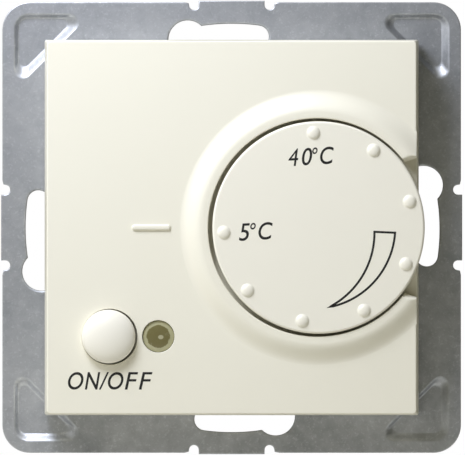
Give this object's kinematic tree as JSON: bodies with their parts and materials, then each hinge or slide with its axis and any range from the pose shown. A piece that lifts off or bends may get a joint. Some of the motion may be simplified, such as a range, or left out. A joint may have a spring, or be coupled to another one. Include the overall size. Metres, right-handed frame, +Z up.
{
  "type": "wall thermostat",
  "caption": "Flush wall thermostat insert: steel support plate, square cover, off-centre temperature dial that turns, push button and lamp, with its electronics case behind.",
  "frame": {"origin": "centre of the support plate, on the wall plane that its pressed corner pockets rest on", "axes": "+X to the right and +Z up as the thermostat hangs, +Y into the wall, so the front faces -Y"},
  "size_m": [0.0714, 0.0386, 0.0702],
  "materials": {
    "cream_plastic": "satin moulded thermoplastic, cream",
    "dial_plastic": "satin moulded thermoplastic, cream",
    "zinc_plate": "galvanised sheet with faint spangle",
    "plated_steel": "zinc plated",
    "clamp_brass": "plain",
    "case_plastic": "fine-textured moulded thermoplastic",
    "block_plastic": "moulded polyamide",
    "board_laminate": "glass-fibre laminate with solder mask",
    "part_plastic": "moulded component body",
    "white_plastic": "moulded acetal",
    "lamp_lens": "smoke-tinted clear resin"
  },
  "bodies": {
    "case": {"mounting_plate": "zinc_plate", "front_cover": "cream_plastic", "status_led": "lamp_lens", "cover_screw": "plated_steel", "front_housing": "case_plastic", "rear_housing": "case_plastic", "housing_screw_1": "plated_steel", "housing_screw_2": "plated_steel", "housing_screw_3": "plated_steel", "housing_screw_4": "plated_steel", "control_board": "board_laminate", "power_board": "board_laminate", "board_connector": "part_plastic", "potentiometer_case": "plated_steel", "potentiometer_track": "board_laminate", "switch_case": "part_plastic", "switch_spring": "plated_steel", "microcontroller": "part_plastic", "smoothing_capacitor": "part_plastic", "relay": "part_plastic", "mains_capacitor": "part_plastic", "fuse": "part_plastic", "varistor": "part_plastic", "terminal_block": "block_plastic", "terminal_clamp_1": "clamp_brass", "terminal_clamp_2": "clamp_brass", "terminal_clamp_3": "clamp_brass", "terminal_clamp_4": "clamp_brass", "terminal_clamp_5": "clamp_brass", "terminal_screw_1": "plated_steel", "terminal_screw_2": "plated_steel", "terminal_screw_3": "plated_steel", "terminal_screw_4": "plated_steel", "terminal_screw_5": "plated_steel"},
    "dial": {"temperature_dial": "dial_plastic", "potentiometer_rotor": "white_plastic"},
    "button": {"button_cap": "cream_plastic", "switch_plunger": "white_plastic"}
  },
  "joints": [
    {"name": "dial_turn", "type": "hinge", "parent": "case", "child": "dial", "pos_m": [0.0133, -0.01, 0], "axis": [0, 1, 0], "range_deg": [0, 270]},
    {"name": "button_press", "type": "slide", "parent": "case", "child": "button", "axis": [0, 1, 0], "range_m": [0, 0.0012], "stiffness_N_per_m": 800, "springref_m": -0.001, "deforming": ["switch_spring"]}
  ]
}
